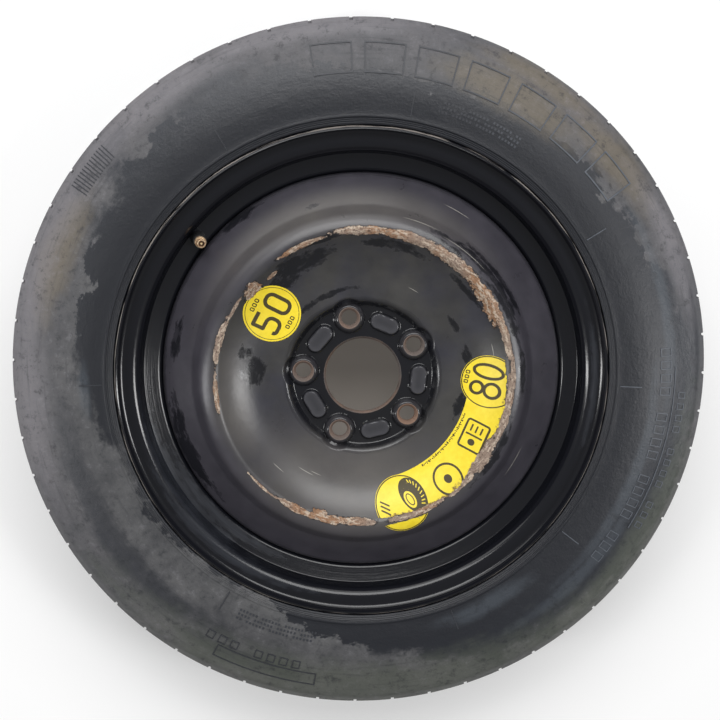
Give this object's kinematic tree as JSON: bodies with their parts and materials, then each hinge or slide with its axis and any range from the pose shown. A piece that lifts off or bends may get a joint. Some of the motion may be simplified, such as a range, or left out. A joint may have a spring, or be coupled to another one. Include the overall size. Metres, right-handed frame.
{
  "type": "space saver spare wheel",
  "caption": "Narrow temporary spare tyre on a black pressed steel wheel with a deep dished disc, bolt bosses round a centre bore, a snap-in valve and two yellow stickers.",
  "frame": {"origin": "on the wheel's axis, in the plane of the hub mounting face", "axes": "+Z along the wheel's axis, out of the outer face; +X and +Y across the wheel, with +Y up in the picture"},
  "size_m": [0.6314, 0.6314, 0.1348],
  "materials": {
    "tyre_rubber": "moulded, dusty",
    "black_paint": "gloss black, worn and rusty at the crest",
    "valve_rubber": "moulded",
    "brass": "dull",
    "gasket": "smooth",
    "spring_steel": "drawn wire",
    "yellow_vinyl": "printed film"
  },
  "bodies": {
    "wheel": {"tyre": "tyre_rubber", "rim": "black_paint", "wheel_disc": "black_paint", "disc_welds": "black_paint", "valve_rubber": "valve_rubber", "valve_stem": "brass", "core_plug": "brass", "core_barrel": "brass", "core_gasket": "gasket", "core_spring": "spring_steel", "round_sticker": "yellow_vinyl", "long_sticker": "yellow_vinyl"},
    "valve_pin": {"core_pin": "brass", "core_cup": "brass", "cup_seal": "valve_rubber"}
  },
  "joints": [
    {"name": "valve_pin_push", "type": "slide", "parent": "wheel", "child": "valve_pin", "axis": [-0.262, 0.2198, -0.9397], "range_m": [0, 0.0012], "stiffness_N_per_m": 1500, "springref_m": -0.0015, "deforming": ["core_spring"]}
  ]
}
